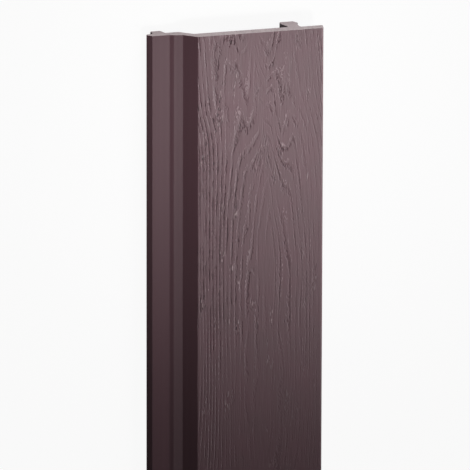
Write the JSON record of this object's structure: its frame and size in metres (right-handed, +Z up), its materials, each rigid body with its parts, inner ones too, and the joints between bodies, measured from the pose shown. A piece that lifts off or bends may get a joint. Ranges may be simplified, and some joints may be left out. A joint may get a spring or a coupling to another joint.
{
  "type": "composite cladding board",
  "caption": "Extruded cladding board with a wood-grain embossed face, a slanted shadow-gap wall, a fixing flange with a nose, and a hook on its back for the lap joint.",
  "frame": {"origin": "under the middle of the board, level with the two ridges on its back that it rests on", "axes": "X across the board, from the nose of the fixing flange (-X) to the free edge (+X); Y along its length; Z up, out of the embossed face"},
  "size_m": [0.162, 2.2, 0.018],
  "materials": {
    "wood_plastic_composite": "matte"
  },
  "bodies": {
    "root": {"cladding_board": "wood_plastic_composite"}
  },
  "joints": []
}
